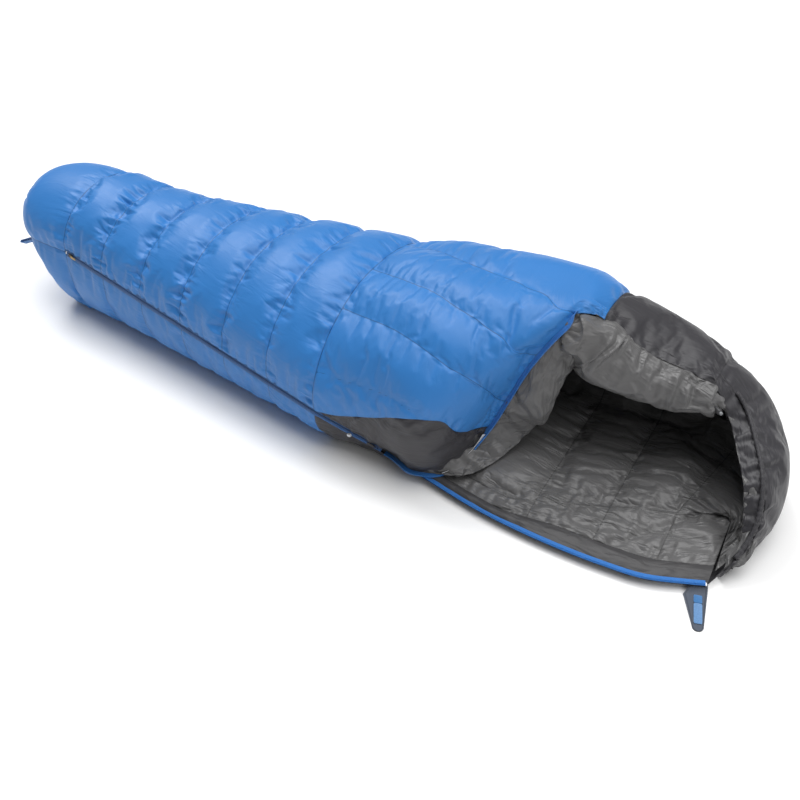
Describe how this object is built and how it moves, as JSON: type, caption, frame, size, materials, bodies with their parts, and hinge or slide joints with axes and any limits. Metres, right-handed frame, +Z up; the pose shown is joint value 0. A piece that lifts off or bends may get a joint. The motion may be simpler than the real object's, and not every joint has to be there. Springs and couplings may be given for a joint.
{
  "type": "mummy sleeping bag",
  "caption": "Mummy sleeping bag laid flat: quilted tapered body, closed footbox, side zip open at the head, collar, hood with drawcord, closure tab and hang loop.",
  "frame": {"origin": "centre of the bag's bounding box on the ground", "axes": "+X from the foot towards the hood, +Z up, the zip on the -Y side"},
  "size_m": [2.2528, 0.68, 0.4306],
  "materials": {
    "shell_blue": "thin downproof nylon taffeta, soft sheen",
    "shell_charcoal": "thin downproof nylon taffeta, soft sheen",
    "lining_grey": "smooth nylon lining, satin",
    "zip_coil_blue": "moulded nylon coil",
    "zip_tape_blue": "woven polyester tape",
    "label_white": "blank satin label",
    "slider_brass": "worn antique brass",
    "slider_blue": "enamel over zinc",
    "puller_dark": "dark enamel over zinc",
    "steel": "pressed steel",
    "drawcord": "braided cord",
    "lock_plastic": "moulded plastic",
    "tab_fabric": "coated woven fabric",
    "hook_fabric": "hook tape",
    "loop_fabric": "brushed loop tape",
    "webbing_blue": "woven webbing"
  },
  "bodies": {
    "root": {"back_chamber_1": "shell_blue", "back_chamber_2": "shell_blue", "back_chamber_3": "shell_blue", "back_chamber_4": "shell_blue", "back_chamber_5": "shell_blue", "back_chamber_6": "shell_blue", "bed_zip_coil": "zip_coil_blue", "bed_zip_tape": "zip_tape_blue", "chest_quilt": "shell_blue", "collar_tail": "lining_grey", "cord_lock_body": "lock_plastic", "drawcord_tunnel": "shell_charcoal", "far_chest_quilt": "shell_blue", "footbox": "shell_blue", "head_back": "shell_charcoal", "head_lining": "lining_grey", "hood_drawcord": "drawcord", "hood_lining": "lining_grey", "hood_quilt": "shell_charcoal", "leg_chamber_1": "shell_blue", "leg_chamber_2": "shell_blue", "leg_chamber_3": "shell_blue", "leg_chamber_4": "shell_blue", "leg_chamber_5": "shell_blue", "leg_chamber_6": "shell_blue", "leg_lining": "lining_grey", "neck_baffle": "lining_grey", "neck_quilt": "shell_blue", "shoulder_panel": "shell_charcoal", "snap_stud": "steel", "torso_back_1": "shell_charcoal", "torso_back_2": "shell_charcoal", "torso_back_3": "shell_charcoal", "torso_back_4": "shell_charcoal", "torso_lining": "lining_grey", "zip_bottom_stop": "steel", "zip_coil": "zip_coil_blue", "zip_draft_tube": "lining_grey", "zip_gusset": "shell_charcoal", "zip_tape_lower": "zip_tape_blue", "zip_tape_upper": "zip_tape_blue", "zip_top_stop": "steel"},
    "flap": {"chest_flap": "shell_blue", "flap_draft_tube": "lining_grey", "flap_gusset": "shell_charcoal", "flap_lining": "lining_grey", "flap_zip_coil": "zip_coil_blue", "flap_zip_tape": "zip_tape_blue", "care_label_1": "label_white", "care_label_2": "label_white"},
    "lower_slider": {"lower_slider": "slider_brass"},
    "lower_puller": {"lower_puller": "slider_brass"},
    "upper_slider": {"upper_slider": "slider_blue"},
    "upper_puller": {"upper_puller": "puller_dark"},
    "cord_lock_button": {"cord_lock_button": "lock_plastic"},
    "closure_tab": {"closure_tab": "tab_fabric", "hook_patch": "hook_fabric", "loop_patch": "loop_fabric"},
    "foot_loop": {"foot_loop": "webbing_blue"}
  },
  "joints": [
    {"name": "flap_fold", "type": "hinge", "parent": "root", "child": "flap", "pos_m": [0.1644, 0.118, 0.408], "axis": [-0.9742, 0.2143, -0.0706], "range_deg": [0, 40]},
    {"name": "lower_slider_travel", "type": "slide", "parent": "root", "child": "lower_slider", "axis": [0.9863, -0.1223, -0.1107], "range_m": [0, 0.8]},
    {"name": "lower_puller_hinge", "type": "hinge", "parent": "lower_slider", "child": "lower_puller", "pos_m": [-0.87041, -0.18727, 0.23898], "axis": [-0.1333, -0.1982, -0.9711], "range_deg": [0, 150]},
    {"name": "upper_slider_travel", "type": "slide", "parent": "root", "child": "upper_slider", "axis": [-0.839, -0.2678, 0.4736], "range_m": [0, 0.13]},
    {"name": "upper_puller_hinge", "type": "hinge", "parent": "upper_slider", "child": "upper_puller", "pos_m": [0.1931, -0.25243, 0.05116], "axis": [0.4398, 0.1796, 0.88], "range_deg": [0, 150]},
    {"name": "cord_lock_press", "type": "slide", "parent": "root", "child": "cord_lock_button", "axis": [-0.8, 0.6, 0], "range_m": [0, 0.004], "stiffness_N_per_m": 300},
    {"name": "closure_tab_hinge", "type": "hinge", "parent": "root", "child": "closure_tab", "pos_m": [1.0149, -0.25, 0], "axis": [-0.8906, -0.4548, 0], "range_deg": [0, 100]},
    {"name": "foot_loop_hinge", "type": "hinge", "parent": "root", "child": "foot_loop", "pos_m": [-1.0696, -0.14, 0.212], "axis": [-0.2233, -0.7857, 0.5769], "range_deg": [-30, 50]}
  ]
}
